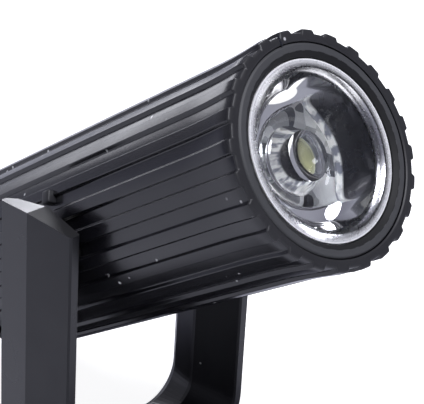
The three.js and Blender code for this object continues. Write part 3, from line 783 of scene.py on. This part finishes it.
def addBracket(bracket):
    crease, top = bracket["crease"], bracket["top"]
    bm = bmesh.new()
    bm.from_mesh(nodes["bracket"].data)
    bmesh.ops.remove_doubles(bm, verts=bm.verts, dist=bracket["merge"])
    bmesh.ops.dissolve_limit(bm, angle_limit=math.radians(bracket["flatAngle"]),
                             verts=bm.verts, edges=bm.edges)
    everything = list(bm.verts) + list(bm.edges) + list(bm.faces)
    bmesh.ops.bisect_plane(bm, geom=everything, plane_co=(0, crease, 0), plane_no=(0, 1, 0))
    for vert in bm.verts:
        if vert.co.z > top - bracket["topMargin"]:
            offset = vert.co.y - crease
            vert.co.z -= offset * bracket["fallRear"] if offset > 0 else -offset * bracket["fallFront"]
    piece = finishPiece("uBracket", bm, "stand", "blackBracket", replaced=["bracket"],
                        place=Matrix.Identity(4), bevel=bracket["bevel"],
                        segments=bracket["segments"], smooth=bracket["smooth"])

    def inFrontSide(face):
        return face.center.y <= crease and abs(face.normal.x) > bracket["sideFacing"]

    def inFrontTop(face):
        return face.center.y <= crease and face.center.z > top - bracket["topBand"]

    paintFaces(piece, "bracketFront", inFrontSide)
    # the front top facets get the darker, rougher black, painted shade
    paintFaces(piece, "paintedShadeBlack", inFrontTop)


addBracket(uBracket)
print("bezel, lens and bracket made")

# carried-over nodes
nodeFinish = {
    "lens_gasket": "rubber", "lens_holder": "holder", "led_dome": "silicone",
    "led_package": "ceramic", "led_board": "starBoard", "thermal_pad": "pad",
    "heat_sink": "aluminium", "heat_sink_screw_a": "steel", "heat_sink_screw_b": "steel",
    "lead_red": "redSleeve", "lead_black": "blackSleeve", "driver_board": "board",
    "transformer_core": "ferrite", "transformer_bobbin": "tape", "input_capacitor": "blackSleeve",
    "output_capacitor": "blackSleeve", "film_capacitor": "natural", "bridge_rectifier": "ferrite",
    "driver_chip": "ferrite", "choke": "ferrite", "fuse_resistor": "natural", "rear_cap": "blackBody",
    "rear_cap_screw_a": "steel", "rear_cap_screw_b": "steel", "rear_cap_screw_c": "steel",
    "cable_gland": "rubber", "pivot_pin_left": "steel", "pivot_pin_right": "steel",
    "friction_washer_left": "natural", "friction_washer_right": "natural",
}
for node, finish in nodeFinish.items():
    data = nodes[node].data
    data.materials.clear()
    data.materials.append(finishes[finish])
print("carried-over nodes finished:", len(nodeFinish))

# light
lightSetup = {
    "fill": 0.12,
    "horizon": (0.34, 0.345, 0.41),
    "zenith": (0.20, 0.20, 0.25),
    "domeSpan": (0.15, 0.75),
    "shade": (0.30, 0.30, 0.36),
    "shadeSide": (0.66, -0.64, 0.40),
    "shadeSpan": (0.35, 0.95),
    "lampColour": (0.97, 0.98, 1.05),
    "aim": (0, 0, 0.05),
}
areaLamps = {
    "keyLamp": {"place": (-0.22, -0.30, 1.10), "wide": 0.6, "high": 0.6, "power": 13.0},
    "rimLamp": {"place": (0.83, 0.86, 0.50), "wide": 0.26, "high": 0.22, "power": 4.5},
    "backLamp": {"place": (0.25, 1.10, 0.16), "wide": 0.75, "high": 0.16, "power": 0.85},
}


def addWorld(setup):
    world = bpy.data.worlds.new("studio")
    bpy.context.scene.world = world
    world.use_nodes = True
    tree = world.node_tree
    background = tree.nodes["Background"]
    path = addNode(tree, "ShaderNodeLightPath")
    seen = combined(tree, "MAXIMUM", path.outputs["Is Camera Ray"], path.outputs["Is Glossy Ray"])
    seen = combined(tree, "MAXIMUM", seen, path.outputs["Is Transmission Ray"])
    tree.links.new(rampBetween(tree, seen, 0, 1, setup["fill"], 1), background.inputs["Strength"])
    sky = addNode(tree, "ShaderNodeTexCoord").outputs["Generated"]
    up = rampBetween(tree, distanceAlong(tree, sky, (0, 0, 1)), *setup["domeSpan"], 0, 1)
    dome = mixedColour(tree, up, setup["horizon"], setup["zenith"])
    side = distanceAlong(tree, sky, setup["shadeSide"])
    dome = mixedColour(tree, rampBetween(tree, side, *setup["shadeSpan"], 0, 1), dome, setup["shade"])
    dome = mixedColour(tree, path.outputs["Is Camera Ray"], dome, (1, 1, 1))
    tree.links.new(dome, background.inputs["Color"])


def addLamp(setup, name, lamp):
    data = bpy.data.lights.new(name, "AREA")
    data.shape = "ELLIPSE"
    data.size = lamp["wide"]
    data.size_y = lamp["high"]
    data.energy = lamp["power"]
    data.color = setup["lampColour"]
    light = bpy.data.objects.new(name, data)
    bpy.context.scene.collection.objects.link(light)
    aim = Vector(setup["aim"]) - Vector(lamp["place"])
    turn = aim.to_track_quat("-Z", "Y").to_matrix().to_4x4()
    light.matrix_world = Matrix.Translation(lamp["place"]) @ turn


addWorld(lightSetup)
for name, lamp in areaLamps.items():
    addLamp(lightSetup, name, lamp)

# floor
floorSetup = {
    "size": 3,
    "sink": 0.0002,
    "roughness": 0.9,
    "colour": (0.80, 0.80, 0.80),
    "glow": (0.82, 0.82, 0.82),
    "farGlow": (1, 1, 1),
    "glowReach": (0.16, 0.5),
    # painted glow and painted shadow that only glossy rays see on the floor
    "paintedReflectionGlow": (0.12, 0.125, 0.23),
    "paintedShadowColour": (0.06, 0.06, 0.07),
    "noGlow": (0, 0, 0),
    "stretch": (1, 0.85, 1),
    "shadowReach": (0.030, 0.052),
}


def floorPaint(setup):
    material, tree, shader = newMaterial("floorPaint")
    shader.inputs["Roughness"].default_value = setup["roughness"]
    path = addNode(tree, "ShaderNodeLightPath")
    clear = combined(tree, "MAXIMUM", path.outputs["Is Camera Ray"], path.outputs["Is Transmission Ray"])
    away = oneMinus(tree, path.outputs["Is Glossy Ray"])
    reach = addNode(tree, "ShaderNodeVectorMath", operation="LENGTH")
    tree.links.new(stretchedPlace(tree, objectPlace(tree), setup["stretch"]), reach.inputs[0])
    # painted shadow: for glossy rays the floor beneath the lamp is painted dark, and farther out it gets
    # a painted glow, so the plastic mirrors a dark patch under itself
    outsidePaintedShadow = rampBetween(tree, reach.outputs["Value"], *setup["shadowReach"], 0, 1)
    painted = mixedColour(tree, outsidePaintedShadow, setup["paintedShadowColour"], setup["colour"])
    painted = mixedColour(tree, away, painted, setup["colour"])
    tree.links.new(painted, shader.inputs["Base Color"])
    # painted reflection glow, outside the painted shadow
    paintedReflectionGlow = mixedColour(tree, outsidePaintedShadow, setup["noGlow"], setup["paintedReflectionGlow"])
    paintedReflectionGlow = mixedColour(tree, away, paintedReflectionGlow, setup["noGlow"])
    far = rampBetween(tree, reach.outputs["Value"], *setup["glowReach"], 0, 1)
    glow = mixedColour(tree, far, setup["glow"], setup["farGlow"])
    tree.links.new(mixedColour(tree, clear, paintedReflectionGlow, glow), shader.inputs["Emission Color"])
    shader.inputs["Emission Strength"].default_value = 1
    return material


def addFloor(setup):
    bm = bmesh.new()
    bmesh.ops.create_grid(bm, x_segments=1, y_segments=1, size=setup["size"])
    bmesh.ops.translate(bm, vec=(0, 0, -setup["sink"]), verts=bm.verts)
    mesh = bpy.data.meshes.new("floor")
    bm.to_mesh(mesh)
    bm.free()
    mesh.materials.append(floorPaint(setup))
    floor = bpy.data.objects.new("floor", mesh)
    bpy.context.scene.collection.objects.link(floor)


addFloor(floorSetup)
bpy.context.scene.view_settings.view_transform = "Standard"
print("studio made")
